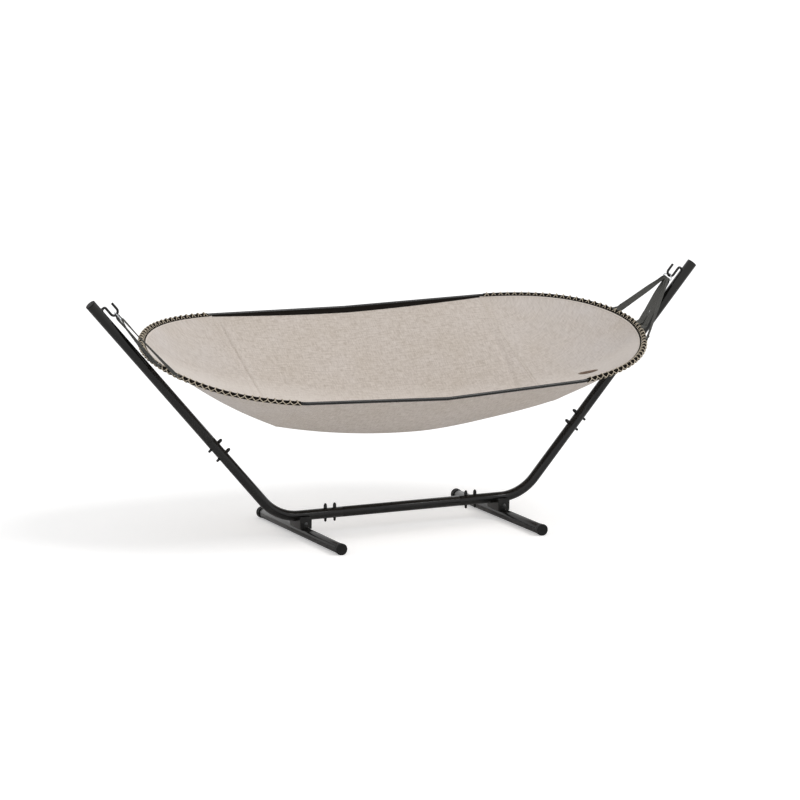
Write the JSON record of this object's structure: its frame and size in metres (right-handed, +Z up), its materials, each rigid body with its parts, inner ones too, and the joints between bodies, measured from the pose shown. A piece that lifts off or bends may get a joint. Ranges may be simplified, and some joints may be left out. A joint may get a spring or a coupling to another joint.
{
  "type": "hammock",
  "caption": "Free-standing hammock: a rimmed cloth bed, laced at both ends, hung by webbing and rings from hooks on a bent tube stand with two cross feet.",
  "frame": {"origin": "on the floor, under the middle of the whole hammock's box, with the bed swung as in the picture", "axes": "+X along the stand and the bed, +Y to the bed's back side, +Z up"},
  "size_m": [3.1808, 1.2038, 1.196],
  "materials": {
    "powder_coat": "satin near-black powder coat",
    "dark_plastic": "matte moulded",
    "bolt_cap": "smooth moulded cap over a steel bolt",
    "zinc_steel": "bright zinc",
    "chrome": "polished",
    "lacing_cord": "braided cream cord",
    "webbing": "dark grey webbing",
    "linen_cloth": "plain weave outdoor cloth",
    "hem_tape": "black woven tape",
    "leather": "plain brown leather"
  },
  "bodies": {
    "stand": {"centre_beam": "powder_coat", "left_elbow": "powder_coat", "left_beam_inner_bolt": "bolt_cap", "left_beam_inner_cap_nut": "bolt_cap", "left_beam_outer_bolt": "bolt_cap", "left_beam_outer_cap_nut": "bolt_cap", "left_arm": "powder_coat", "left_arm_plug": "dark_plastic", "left_hook": "powder_coat", "left_arm_upper_bolt": "bolt_cap", "left_arm_upper_cap_nut": "bolt_cap", "left_arm_lower_bolt": "bolt_cap", "left_arm_lower_cap_nut": "bolt_cap", "right_elbow": "powder_coat", "right_beam_inner_bolt": "bolt_cap", "right_beam_inner_cap_nut": "bolt_cap", "right_beam_outer_bolt": "bolt_cap", "right_beam_outer_cap_nut": "bolt_cap", "right_arm": "powder_coat", "right_arm_plug": "dark_plastic", "right_hook": "powder_coat", "right_arm_upper_bolt": "bolt_cap", "right_arm_upper_cap_nut": "bolt_cap", "right_arm_lower_bolt": "bolt_cap", "right_arm_lower_cap_nut": "bolt_cap", "left_foot": "powder_coat", "left_back_foot_cap": "dark_plastic", "left_front_foot_cap": "dark_plastic", "left_saddle": "powder_coat", "left_saddle_bolt": "zinc_steel", "left_saddle_nut": "zinc_steel", "right_foot": "powder_coat", "right_back_foot_cap": "dark_plastic", "right_front_foot_cap": "dark_plastic", "right_saddle": "powder_coat", "right_saddle_bolt": "zinc_steel", "right_saddle_nut": "zinc_steel"},
    "bed": {"left_rim_end": "powder_coat", "left_lacing": "lacing_cord", "left_end_cloth": "linen_cloth", "left_ring": "chrome", "left_back_strap": "webbing", "left_front_strap": "webbing", "right_rim_end": "powder_coat", "right_lacing": "lacing_cord", "right_end_cloth": "linen_cloth", "right_ring": "chrome", "right_back_strap": "webbing", "right_front_strap": "webbing", "back_rail": "powder_coat", "front_rail": "powder_coat", "middle_cloth": "linen_cloth", "back_hem": "hem_tape", "front_hem": "hem_tape", "leather_patch": "leather"}
  },
  "joints": [
    {"name": "bed_swing", "type": "hinge", "parent": "stand", "child": "bed", "pos_m": [0, -0.06243, 1.12425], "axis": [1, 0, 0], "range_deg": [-32.3, 7.7]}
  ]
}
